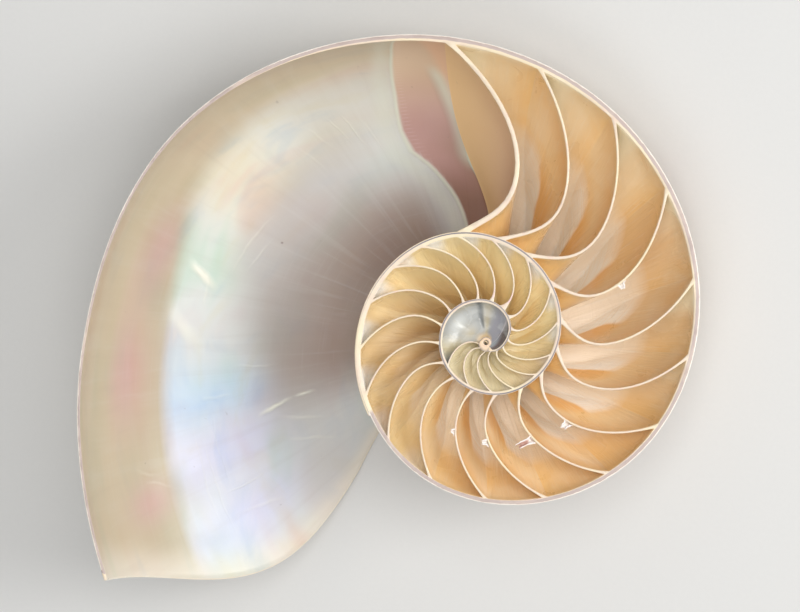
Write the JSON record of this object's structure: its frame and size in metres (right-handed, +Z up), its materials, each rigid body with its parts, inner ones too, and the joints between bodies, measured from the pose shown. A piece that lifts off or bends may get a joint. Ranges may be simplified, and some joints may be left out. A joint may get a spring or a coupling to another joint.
{
  "type": "nautilus shell half",
  "caption": "Nautilus shell sawn in half, lying on its rounded side with the spiral of chambers and the open living chamber facing up.",
  "frame": {"origin": "on the ground, under the middle of the shell half's bounding box", "axes": "+Z up, square to the ground; +X to the right and +Y away as the sawn face is seen from above with the opening at the lower left; the sawn face leans about 15 degrees from level"},
  "size_m": [0.1462, 0.1362, 0.0582],
  "materials": {
    "shell": "polished mother of pearl inside, cream shell with brown stripes outside"
  },
  "bodies": {
    "root": {"nautilus_shell_half": "shell"}
  },
  "joints": []
}
